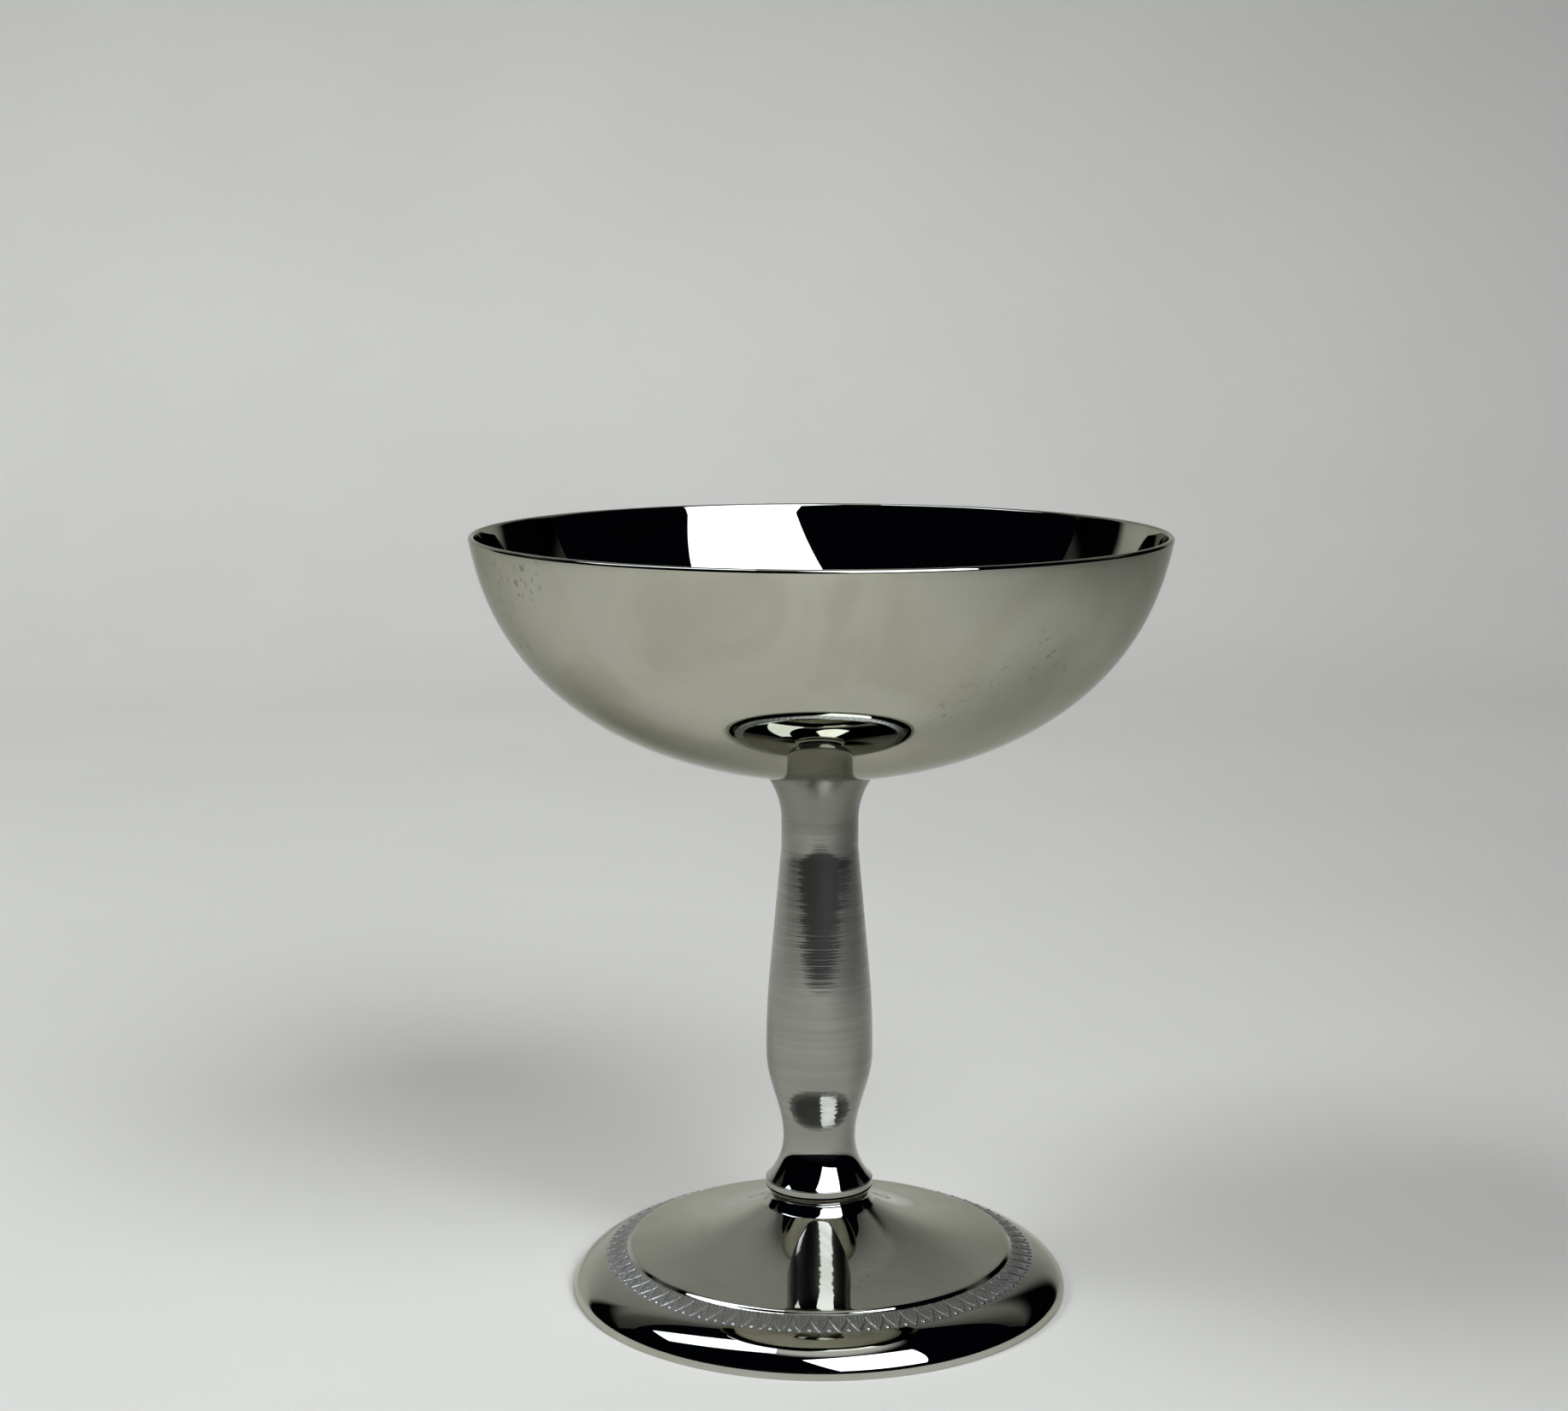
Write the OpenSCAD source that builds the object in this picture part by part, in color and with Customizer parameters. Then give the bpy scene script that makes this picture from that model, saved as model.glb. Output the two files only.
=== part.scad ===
// Footed cup of polished sheet steel: a wide, shallow cup on a turned stem and a pressed round foot.
// A rod brazed under the cup runs down the bore of the stem. A nut in the hollow of the foot draws
// cup, stem and foot together, so the whole cup comes apart from below.
// Millimetres, +Z up. The origin is the centre of the ring on which the foot rests.

/* [Cup] */
// Outside diameter of the cup at its rim
cup_d = 100; // [80:1:125]
// Outside depth of the cup, from its lowest point to the top of the rim
cup_depth = 34.9; // [28:0.1:45]
// Height above the rim at which the curve of the wall would stand upright
wall_reach = 14.6; // [8:0.1:25]
// Fullness of the wall's curve, 2 for an ellipse and more for a fuller shoulder
wall_fullness = 2.75; // [2:0.05:3.5]
// Thickness of the cup's sheet
cup_sheet = 0.9; // [0.6:0.1:1.5]

/* [Stem] */
// Diameter of the flare that carries the cup
flare_d = 16.4; // [13:0.1:22]
// Height of the hollow curve between the neck and the flare
flare_h = 7.1; // [5:0.1:10]
// Diameter of the straight neck
neck_d = 11.2; // [9:0.1:14]
// Length of the straight neck
neck_h = 5; // [2:0.1:10]
// Height of the taper from the neck down to the widest place
taper_h = 28.3; // [20:0.1:45]
// Share of the taper that is straight before it rounds over
taper_straight = 0.6; // [0.2:0.05:0.9]
// Diameter at the widest place
swell_d = 15.6; // [12.5:0.1:20]
// Length that keeps the widest diameter
swell_h = 1.4; // [0:0.1:4]
// Height of the shoulder from the widest place down to the waist
shoulder_h = 12.8; // [8:0.1:20]
// Diameter of the waist
waist_d = 10.6; // [8.5:0.1:13]
// Height of the bell from the waist down to the lip
bell_h = 6.3; // [4:0.1:9]
// Diameter of the lip at the foot of the bell
lip_d = 15.8; // [13.5:0.1:20]
// Height of the lip
lip_h = 1.3; // [0.8:0.1:3]
// Rounding of the lip's two edges
lip_edge = 0.15; // [0.05:0.05:0.4]
// Height of the undercut between the lip and the foot
undercut_h = 0.9; // [0.3:0.1:2]
// Diameter of the spigot that centres the stem in the foot
spigot_d = 8; // [7:0.1:9]
// Length of the spigot
spigot_h = 0.7; // [0.4:0.1:1.2]

/* [Foot] */
// Outside diameter of the foot
foot_d = 72.8; // [56:0.1:90]
// Height of the foot's flat crown, which the stem stands on
foot_h = 14.3; // [11.9:0.1:18]
// Thickness of the foot's sheet
foot_sheet = 1; // [0.7:0.1:1.4]
// Height of the upright edge that rests on the table
edge_h = 0.6; // [0.2:0.1:1]
// Width of the rolled border, seen from above
roll_w = 4.7; // [3.5:0.1:7]
// Height of the top of the rolled border
roll_h = 4.9; // [3.8:0.1:6]
// Fullness of the rolled border, 0.4 for nearly straight and 1 for a full round
roll_fullness = 0.7; // [0.4:0.05:1]
// Width of the ornamented band, seen from above
band_w = 3.2; // [2:0.1:5]
// Slope of the ornamented band, in degrees
band_slope = 20; // [10:1:30]
// Height and width of the slanted step from the band up to the plain inner face
band_step = 0.5; // [0.2:0.05:0.6]
// Slope of the plain inner face at the step, in degrees
face_slope = 4.5; // [2:0.5:9]
// Slope of the plain inner face at the foot of the collar, in degrees
rise_slope = 33; // [28:1:36]
// Width of the steep collar under the crown, seen from above
collar_w = 0.9; // [0.8:0.05:1.2]
// Height of the collar, up to the top of the crown
collar_h = 1.7; // [1.4:0.05:1.9]
// Slope of the collar where it meets the crown, in degrees
collar_slope = 62; // [60:1:70]
// Tightness of the inner corner at the foot of the collar, 1 for a soft bend and more for a crisp one
collar_fullness = 1.5; // [1:0.25:4]
// Diameter of the foot just under its crown
crown_d = 14.8; // [12:0.1:15.4]
// Rounding of the crown's edge
crown_edge = 0.3; // [0.2:0.05:0.4]

/* [Clamping parts] */
// Diameter of the rod
rod_d = 5; // [4:0.1:6]
// Diameter of the rod's head, which is brazed to the cup
head_d = 9; // [8:0.1:11]
// Thickness of the rod's head, measured at its edge
head_h = 1.6; // [1:0.1:2.5]
// Length of rod that shows below the nut
rod_end = 1.6; // [0.8:0.1:3]
// Bevel at the end of the rod
rod_bevel = 0.6; // [0.3:0.1:0.9]
// Outside diameter of the plain washer
washer_d = 10; // [9.4:0.1:10.4]
// Thickness of the plain washer
washer_h = 1; // [0.6:0.1:1.6]
// Outside diameter of the spring washer
spring_d = 9.2; // [8.4:0.1:10]
// Thickness of the spring washer
spring_h = 1.2; // [0.8:0.1:1.6]
// Width of the split in the spring washer
spring_split = 0.9; // [0.5:0.1:1.5]
// Slant of the split in the spring washer, in degrees
spring_slant = 20; // [0:1:35]
// Width of the nut across its flats
nut_af = 8; // [7.6:0.1:9]
// Diameter of the nut's round end faces, as a share of its width across the flats
nut_face = 0.95; // [0.85:0.01:1]
// Height of the nut
nut_h = 4; // [3:0.1:5]

/* [Fits] */
// Thickness of the film of braze under the cup
braze_gap = 0.06; // [0.03:0.01:0.15]
// Clearance all round the spigot in the foot's hole
spigot_gap = 0.1; // [0.05:0.05:0.2]
// Clearance all round the rod in the stem and in the washers
rod_gap = 0.15; // [0.1:0.05:0.3]
// Clearance round and under the rod's head in the stem
head_gap = 0.2; // [0.1:0.05:0.4]
// Clearance all round the rod in the nut's thread
thread_gap = 0.04; // [0.02:0.01:0.08]

/* [Hidden] */

// Steps along each curve of an outline, and around a turned piece
curve_steps = 20;
$fn = 96;

// Heights of the stem's stations, from the foot up
lip_z = foot_h + undercut_h;
bell_z = lip_z + lip_h;
waist_z = bell_z + bell_h;
swell_z = waist_z + shoulder_h;
taper_z = swell_z + swell_h;
neck_z = taper_z + taper_h;
flare_z = neck_z + neck_h;
stem_top_z = flare_z + flare_h;

// The cup's outer wall is a superellipse that starts on the axis and leans outwards at the rim
cup_reach = cup_depth + wall_reach;
rim_lift = cup_sheet / 2;
rim_share = pow((wall_reach + rim_lift) / cup_reach, wall_fullness);
wall_r = cup_d / 2 / sqrt(1 - rim_share);
rim_angle = asin(cup_d / 2 / wall_r);
cup_z = stem_top_z + braze_gap - cup_rise(flare_d / 2);
rim_z = cup_z + cup_depth;

// Radii and heights of the foot's stations, from the edge in
edge_r = foot_d / 2;
band_outer_r = edge_r - roll_w;
band_inner_r = band_outer_r - band_w;
band_inner_z = roll_h + band_w * tan(band_slope);
face_r = band_inner_r - band_step;
face_z = band_inner_z + band_step;
crown_r = crown_d / 2;
crown_z = foot_h - crown_edge;
collar_r = crown_r + collar_w;
collar_z = foot_h - collar_h;
seat_r = crown_r - crown_edge;
hollow_z = foot_h - foot_sheet;
hole_r = spigot_d / 2 + spigot_gap;

// Heights of the stack that clamps the foot, from the crown down
spring_top_z = hollow_z - washer_h;
nut_top_z = spring_top_z - spring_h;
nut_z = nut_top_z - nut_h;
rod_z = nut_z - rod_end;
bore_r = rod_d / 2 + rod_gap;
head_z = cup_z + cup_rise(head_d / 2) - braze_gap - head_h;

// Share of the way along a curve at each of its steps
shares = [for (i = [0 : curve_steps]) i / curve_steps];

// Height of the cup's outer wall above its lowest point, at radius r
function cup_rise(r) = cup_reach * (1 - pow(1 - pow(r / wall_r, 2), 1 / wall_fullness));

// Underside of the braze film at radius r, which the stem and the rod's head follow
function seat_under_cup(r) = cup_z + cup_rise(r) - braze_gap;

// Points of a curve that leaves p0 towards the corner p1 and arrives at p2 from it
function corner_curve(p0, p1, p2, fullness) = [
    for (t = shares)
        let (a = (1 - t) * (1 - t), b = 2 * fullness * t * (1 - t), c = t * t)
            (a * p0 + b * p1 + c * p2) / (a + b + c)
];

// Corner at which a line through p0 with slope a0 meets a line through p1 with slope a1,
// both slopes in degrees and rising towards the axis
function corner(p0, a0, p1, a1) =
    let (r = (p1.y - p0.y + p1.x * tan(a1) - p0.x * tan(a0)) / (tan(a1) - tan(a0)))
        [r, p0.y + (p0.x - r) * tan(a0)];

// Points of a quarter round about the centre c, from angle a0 to a1
function round_points(c, r, a0, a1) = [
    for (t = shares)
        let (a = a0 + (a1 - a0) * t)
            c + r * [cos(a), sin(a)]
];

// Points of a hollow arc that leaves the upright line r0 at z0 and reaches radius r1 at z1
function cove(r0, z0, r1, z1) =
    let (d = r1 - r0, h = z1 - z0, arc_r = (d * d + h * h) / (2 * d))
        [for (t = shares) [r0 + arc_r - sqrt(arc_r * arc_r - h * h * t * t), z0 + h * t]];

// Outline moved sideways by the thickness of the sheet, to the left of its direction
function moved(path, by) = [
    for (i = [0 : len(path) - 1])
        let (
            step = path[min(i + 1, len(path) - 1)] - path[max(i - 1, 0)],
            side = [-step.y, step.x] / norm(step)
        )
            [max(0, path[i].x + by * side.x), path[i].y + by * side.y]
];

function reversed(path) = [for (i = [len(path) - 1 : -1 : 0]) path[i]];

// Outer wall of the cup, from the axis to just under the round of the rim
cup_wall = [
    for (t = shares)
        let (r = wall_r * sin(rim_angle * t))
            [r, cup_z + cup_rise(r)]
];

module cup_bowl() {
    inside = moved(cup_wall, cup_sheet);
    outer_end = cup_wall[curve_steps];
    inner_end = inside[curve_steps];
    lean = atan2(outer_end.y - inner_end.y, outer_end.x - inner_end.x);
    rim = round_points((outer_end + inner_end) / 2, cup_sheet / 2, lean, lean + 180);
    color([0.64, 0.64, 0.59])
        rotate_extrude()
            polygon(concat(cup_wall, rim, reversed(inside)));
}

// Share of the taper's widening at a share t of its height: straight first, then rounding over
function taper_share(t) =
    let (s = taper_straight)
        t < s ? 2 * t / (1 + s) : 1 - (1 - t) * (1 - t) / (1 - s * s);

// Outline of the shoulder, from the waist up to the widest place
shoulder = [
    for (t = shares)
        let (widening = (swell_d - waist_d) / 2 * (1 - cos(180 * t)) / 2)
            [waist_d / 2 + widening, waist_z + shoulder_h * t]
];

// Outline of the taper, from the neck down to the widest place
taper = [
    for (t = shares)
        let (widening = (swell_d - neck_d) / 2 * taper_share(t))
            [neck_d / 2 + widening, neck_z - taper_h * t]
];

// Outside of the stem from the foot up to the cup
stem_side = concat(
    [[seat_r, foot_h], [lip_d / 2 - lip_edge, lip_z]],
    round_points([lip_d / 2 - lip_edge, lip_z + lip_edge], lip_edge, -90, 0),
    round_points([lip_d / 2 - lip_edge, bell_z - lip_edge], lip_edge, 0, 90),
    reversed(cove(waist_d / 2, waist_z, lip_d / 2 - lip_edge, bell_z)),
    shoulder,
    reversed(taper),
    cove(neck_d / 2, flare_z, flare_d / 2, stem_top_z)
);

module stem() {
    dished_top = [for (t = reversed(shares)) [flare_d / 2 * t, seat_under_cup(flare_d / 2 * t)]];
    spigot = [[0, foot_h - spigot_h], [spigot_d / 2, foot_h - spigot_h], [spigot_d / 2, foot_h]];
    color([0.5, 0.5, 0.47])
        difference() {
            rotate_extrude()
                polygon(concat(spigot, stem_side, dished_top));
            translate([0, 0, foot_h - 2 * spigot_h])
                cylinder(r = bore_r, h = stem_top_z);
            translate([0, 0, head_z - head_gap])
                cylinder(r = head_d / 2 + head_gap, h = stem_top_z);
        }
}

// Sheet of the foot: the border from its edge to the band, the face from the band in, and the collar
band_outer = [band_outer_r, roll_h];
face_outer = [face_r, face_z];
collar_foot = [collar_r, collar_z];
crown_side = [crown_r, crown_z];
foot_roll = corner_curve(
    [edge_r, edge_h],
    [edge_r, roll_h - roll_w * tan(band_slope)],
    band_outer,
    roll_fullness
);
foot_face = corner_curve(
    face_outer,
    corner(face_outer, face_slope, collar_foot, rise_slope),
    collar_foot,
    1
);
foot_collar = corner_curve(
    collar_foot,
    corner(collar_foot, rise_slope, crown_side, collar_slope),
    crown_side,
    collar_fullness
);

module foot() {
    band = [[band_inner_r, band_inner_z]];
    crown = round_points([seat_r, crown_z], crown_edge, 0, 90);
    outside = concat([[edge_r, 0]], foot_roll, band, foot_face, foot_collar, crown, [[hole_r, foot_h]]);
    sheet = concat([[edge_r, 0]], foot_roll, foot_face, foot_collar);
    hollow = [for (p = moved(sheet, foot_sheet)) if (p.y < hollow_z) [p.x, max(0, p.y)]];
    hollow_r = hollow[len(hollow) - 1].x;
    color([0.6, 0.6, 0.56])
        rotate_extrude()
            polygon(concat(outside, [[hole_r, hollow_z], [hollow_r, hollow_z]], reversed(hollow)));
}

module tie_rod() {
    rod_tip = [[0, rod_z], [rod_d / 2 - rod_bevel, rod_z], [rod_d / 2, rod_z + rod_bevel]];
    head_under = [[rod_d / 2, head_z], [head_d / 2, head_z]];
    head_top = [for (t = reversed(shares)) [head_d / 2 * t, seat_under_cup(head_d / 2 * t)]];
    color([0.7, 0.7, 0.72])
        rotate_extrude()
            polygon(concat(rod_tip, head_under, head_top));
}

// Flat ring that stands on height z, with the rod's clearance hole
module rod_ring(outer_d, z, h) {
    translate([0, 0, z])
        difference() {
            cylinder(d = outer_d, h = h);
            translate([0, 0, -h])
                cylinder(r = bore_r, h = 3 * h);
        }
}

module plain_washer() {
    color([0.72, 0.72, 0.72])
        rod_ring(washer_d, spring_top_z, washer_h);
}

module spring_washer() {
    color([0.45, 0.45, 0.47])
        difference() {
            rod_ring(spring_d, nut_top_z, spring_h);
            translate([spring_d / 2, 0, nut_top_z + spring_h / 2])
                rotate([spring_slant, 0, 0])
                    cube([spring_d, spring_split, 4 * spring_h], center = true);
        }
}

module foot_nut() {
    corner_r = nut_af / 2 / cos(30);
    end_r = nut_af / 2 * nut_face;
    bevel = (corner_r - end_r) * tan(30);
    color([0.72, 0.72, 0.72])
        translate([0, 0, nut_z])
            difference() {
                intersection() {
                    rotate([0, 0, 30])
                        cylinder(r = corner_r, h = nut_h, $fn = 6);
                    rotate_extrude()
                        polygon([
                            [0, 0],
                            [end_r, 0],
                            [corner_r, bevel],
                            [corner_r, nut_h - bevel],
                            [end_r, nut_h],
                            [0, nut_h]
                        ]);
                }
                translate([0, 0, -nut_h])
                    cylinder(r = rod_d / 2 + thread_gap, h = 3 * nut_h);
            }
}

cup_bowl();
stem();
foot();
tie_rod();
plain_washer();
spring_washer();
foot_nut();
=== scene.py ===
"""Looks of a footed steel cup: its polished pieces, their finishes and a soft studio around them.

Metres, +Z up, in the frame of the construction model. The origin is the centre of the ring on
which the foot rests. The cup faces the camera from -Y.
"""

import logging
import math
from abc import ABC, abstractmethod
from collections.abc import Callable
from dataclasses import dataclass
from enum import Enum, IntEnum
from functools import cache, partial, reduce

import bmesh
import bpy
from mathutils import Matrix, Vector


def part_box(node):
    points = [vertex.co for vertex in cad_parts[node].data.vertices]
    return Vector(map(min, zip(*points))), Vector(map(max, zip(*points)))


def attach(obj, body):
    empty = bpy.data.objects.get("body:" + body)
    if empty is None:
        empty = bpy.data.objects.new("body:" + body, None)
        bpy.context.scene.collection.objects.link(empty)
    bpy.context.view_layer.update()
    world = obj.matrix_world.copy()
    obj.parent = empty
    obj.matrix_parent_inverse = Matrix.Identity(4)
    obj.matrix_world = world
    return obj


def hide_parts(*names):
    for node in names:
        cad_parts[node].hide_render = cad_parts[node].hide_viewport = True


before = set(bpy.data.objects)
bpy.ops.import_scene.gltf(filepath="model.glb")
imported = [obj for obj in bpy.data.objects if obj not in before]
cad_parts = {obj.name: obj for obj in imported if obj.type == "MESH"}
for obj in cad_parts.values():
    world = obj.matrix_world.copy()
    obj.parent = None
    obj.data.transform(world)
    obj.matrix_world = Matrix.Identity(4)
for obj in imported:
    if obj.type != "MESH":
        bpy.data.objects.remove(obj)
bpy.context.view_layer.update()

LOG = logging.getLogger("footed_cup")

Point = tuple[float, float]
Outline = list[Point]
Triple = tuple[float, float, float]
Rgb = Triple
Mesh = bmesh.types.BMesh
Stamp = Callable[[Mesh], None]
Socket = bpy.types.NodeSocket

BODY = "root"
WELD = 1e-6
FULL_TURN = 2 * math.pi
UNIT: Point = (0.0, 1.0)
BACKGROUND: Rgb = (0.62, 0.62, 0.60)


class Node(Enum):
    """Names of the construction model's nodes."""

    CUP = "cup_bowl"
    STEM = "stem"
    FOOT = "foot"
    ROD = "tie_rod"
    WASHER = "plain_washer"
    SPRING = "spring_washer"
    NUT = "foot_nut"


class Slot(Enum):
    """Names of the record's material slots."""

    CUP = "cup_mirror_steel"
    STEM = "stem_turned_steel"
    FOOT = "foot_mirror_steel"
    ROD = "rod_steel"


class FootFace(IntEnum):
    """Places of the foot's finishes among its materials."""

    POLISHED = 0
    COINED = 1
    PRESSED = 2


# Outlines of turned pieces


def shares(steps: int) -> list[float]:
    """Shares of the way along a curve, from 0 to 1, one more than there are equal steps."""
    return [i / steps for i in range(steps + 1)]


def arc(centre: Point, radius: float, start: float, end: float, steps: int) -> Outline:
    """Points of a round stretch of an outline.

    Args:
        centre: Centre of the arc.
        radius: Radius of the arc.
        start: First angle in degrees, 0 pointing away from the axis.
        end: Last angle in degrees.
        steps: Number of steps.

    Returns:
        The points from the first angle to the last.
    """
    angles = [math.radians(start + (end - start) * t) for t in shares(steps)]
    return [(centre[0] + radius * math.cos(a), centre[1] + radius * math.sin(a)) for a in angles]


def corner_curve(start: Point, corner: Point, end: Point, fullness: float, steps: int) -> Outline:
    """Points of a curve that leaves its start towards a corner and reaches its end from it.

    Args:
        start: First point.
        corner: Point at which the two end directions meet.
        end: Last point.
        fullness: How far the curve swells towards the corner, 1 for a parabola.
        steps: Number of steps.

    Returns:
        The points from start to end.
    """
    points = []
    for t in shares(steps):
        weights = ((1 - t) ** 2, 2 * fullness * t * (1 - t), t**2)
        places = zip(start, corner, end)
        points.append(tuple(sum(w * p for w, p in zip(weights, axis)) / sum(weights) for axis in places))
    return points


def crossing(outer: Point, outer_slope: float, inner: Point, inner_slope: float) -> Point:
    """Place at which two sloping lines cross, both of them rising towards the axis.

    Args:
        outer: Point on the line that lies further out.
        outer_slope: Slope of that line in degrees.
        inner: Point on the line that lies further in.
        inner_slope: Slope of that line in degrees.

    Returns:
        Radius and height of the crossing.
    """
    flat, steep = (math.tan(math.radians(slope)) for slope in (outer_slope, inner_slope))
    radius = (inner[1] - outer[1] + inner[0] * steep - outer[0] * flat) / (steep - flat)
    return radius, outer[1] + (outer[0] - radius) * flat


def cove(upright: Point, edge: Point, steps: int) -> Outline:
    """Points of a hollow arc that leaves an upright wall and flares out to an edge.

    Args:
        upright: Point on the upright wall.
        edge: Point that the arc flares out to.
        steps: Number of steps.

    Returns:
        The points from the wall to the edge.
    """
    reach = edge[0] - upright[0]
    height = edge[1] - upright[1]
    radius = (reach**2 + height**2) / (2 * reach)
    drops = [radius - math.sqrt(radius**2 - (height * t) ** 2) for t in shares(steps)]
    return [(upright[0] + drop, upright[1] + height * t) for drop, t in zip(drops, shares(steps))]


def moved(path: Outline, by: float) -> Outline:
    """An outline moved sideways by a sheet's thickness, to the left of its direction.

    Args:
        path: Points of the outline.
        by: Distance to move it.

    Returns:
        As many points, none of them past the axis.
    """
    result = []
    for i, (radius, height) in enumerate(path):
        before = path[max(i - 1, 0)]
        after = path[min(i + 1, len(path) - 1)]
        step = (Vector(after) - Vector(before)).normalized()
        result.append((max(0.0, radius - by * step.y), height + by * step.x))
    return result


# Meshes


def chain(mesh: Mesh, points: list[Triple], closed: bool = False) -> tuple[list, list]:
    """Adds a chain of edges to a mesh.

    Args:
        mesh: The mesh.
        points: Places of the chain's vertices.
        closed: Whether the last vertex joins the first.

    Returns:
        The new vertices and the new edges.
    """
    verts = [mesh.verts.new(point) for point in points]
    ends = verts[1:] + verts[:1] if closed else verts[1:]
    return verts, [mesh.edges.new(pair) for pair in zip(verts, ends)]


def spin(mesh: Mesh, geom: list, angle: float, steps: int, **settings: object) -> None:
    """Spins a part of a mesh about the vertical axis."""
    about = {"cent": (0, 0, 0), "axis": (0, 0, 1)}
    bmesh.ops.spin(mesh, geom=geom, angle=angle, steps=steps, **about, **settings)


def weld(mesh: Mesh, distance: float) -> None:
    """Merges vertices that lie together, and turns the faces outwards."""
    bmesh.ops.remove_doubles(mesh, verts=mesh.verts, dist=distance)
    bmesh.ops.recalc_face_normals(mesh, faces=mesh.faces)


def turned(
    outline: Outline, segments: int, closed: bool = False, wedges: int = 16, stamp: Stamp | None = None
) -> Mesh:
    """A shape turned about the vertical axis, as one wedge that is copied round.

    Args:
        outline: Radius and height of each point of the section.
        segments: Number of steps around the axis, a multiple of the number of wedges.
        closed: Whether the last point joins the first.
        wedges: Number of wedges in a full turn.
        stamp: Function that shapes the wedge before it is copied.

    Returns:
        A mesh whose doubles are merged and whose faces point outwards.
    """
    mesh = bmesh.new()
    verts, edges = chain(mesh, [(radius, 0.0, height) for radius, height in outline], closed)
    spin(mesh, verts + edges, FULL_TURN / wedges, segments // wedges)
    if stamp:
        stamp(mesh)
    geom = mesh.verts[:] + mesh.edges[:] + mesh.faces[:]
    spin(mesh, geom, FULL_TURN * (wedges - 1) / wedges, wedges - 1, use_duplicate=True)
    weld(mesh, WELD)
    return mesh


def smooth_object(mesh: Mesh, name: str, sharp: float = 60.0) -> bpy.types.Object:
    """Turns a finished bmesh into a smooth-shaded object at the origin.

    Args:
        mesh: The finished mesh, which is freed.
        name: Name of the new object.
        sharp: Angle in degrees past which an edge stays crisp.

    Returns:
        The object, linked to the scene.
    """
    data = bpy.data.meshes.new(name)
    mesh.to_mesh(data)
    mesh.free()
    data.shade_smooth()
    data.set_sharp_from_angle(angle=math.radians(sharp))
    piece = bpy.data.objects.new(name, data)
    bpy.context.scene.collection.objects.link(piece)
    return piece


# Node trees


@dataclass(frozen=True)
class Grain:
    """A noise, the stretch of its place along each axis and the range of it that a mask keeps."""

    scale: float = 1.0
    detail: float = 2.0
    kept: Point = UNIT
    stretch: Triple | None = None
    distortion: float = 0.0


class Graph:
    """Adds and links the nodes of one node tree."""

    def __init__(self, tree: bpy.types.NodeTree) -> None:
        """Starts from an emptied tree."""
        self.tree = tree
        tree.nodes.clear()

    def add(self, kind: str, inputs: dict | None = None, **settings: object) -> bpy.types.Node:
        """Adds a node.

        Args:
            kind: Type of the node, without its common first word.
            inputs: Sockets to link, or values to set, by the input's name or number.
            settings: Attributes of the node.

        Returns:
            The new node.
        """
        node = self.tree.nodes.new("ShaderNode" + kind)
        for name, value in settings.items():
            setattr(node, name, value)
        for key, value in (inputs or {}).items():
            socket = node.inputs[key]
            if isinstance(value, Socket):
                self.tree.links.new(value, socket)
            else:
                socket.default_value = (*value, 1.0) if socket.type == "RGBA" else value
        return node

    def place(self) -> Socket:
        """The place on the piece, in metres."""
        return self.add("TexCoord").outputs["Object"]

    def parts(self, vector: Socket) -> list[Socket]:
        """The three parts of a vector."""
        return list(self.add("SeparateXYZ", {0: vector}).outputs)

    def scaled(self, vector: Socket, factors: Triple) -> Socket:
        """A vector with each of its parts multiplied."""
        return self.add("VectorMath", {0: vector, 1: factors}, operation="MULTIPLY").outputs[0]

    def noise(self, vector: Socket, grain: Grain, scale: Socket | None = None) -> Socket:
        """Soft noise from 0 to 1, at the grain's own scale or at a given one."""
        place = self.scaled(vector, grain.stretch) if grain.stretch else vector
        inputs = {"Vector": place, "Scale": scale or grain.scale, "Detail": grain.detail}
        return self.add("TexNoise", inputs | {"Distortion": grain.distortion}).outputs[0]

    def math(self, operation: str, a: object, b: object = 0.0) -> Socket:
        """Result of an operation on sockets or numbers."""
        return self.add("Math", {0: a, 1: b}, operation=operation).outputs[0]

    def product(self, *factors: object) -> Socket:
        """All the factors multiplied."""
        return reduce(partial(self.math, "MULTIPLY"), factors)

    def most(self, *values: object) -> Socket:
        """The largest of the values."""
        return reduce(partial(self.math, "MAXIMUM"), values)

    def ramp(self, value: Socket, source: Point, target: Point = UNIT) -> Socket:
        """A value eased from one range of numbers to another, and held at its ends."""
        inputs = dict(enumerate((value, *source, *target)))
        return self.add("MapRange", inputs, interpolation_type="SMOOTHSTEP").outputs[0]

    def mask(self, vector: Socket, grain: Grain) -> Socket:
        """Noise from 0 to 1 over the range that is kept."""
        return self.ramp(self.noise(vector, grain), grain.kept)

    def mix(self, share: Socket, a: object, b: object) -> Socket:
        """A colour between two colours."""
        return self.add("Mix", {0: share, 6: a, 7: b}, data_type="RGBA").outputs[2]

    def bump(self, height: Socket, distance: float, **more: Socket) -> Socket:
        """A normal that follows a relief."""
        return self.add("Bump", {"Height": height, "Distance": distance, **more}).outputs[0]

    def steel(self, colour: Socket, gloss: Socket, normal: Socket, more: dict | None = None) -> Socket:
        """A shader of bare metal, with what else its inputs take."""
        inputs = {"Metallic": 1.0, "Base Color": colour, "Roughness": gloss, "Normal": normal}
        return self.add("BsdfPrincipled", inputs | (more or {})).outputs[0]

    def effect(self, group: bpy.types.NodeTree, inputs: dict) -> dict[str, Socket]:
        """Outputs of a node group placed in this tree with its own values."""
        return dict(self.add("Group", inputs, node_tree=group).outputs.items())


Wiring = Callable[[Graph], Socket]


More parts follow.
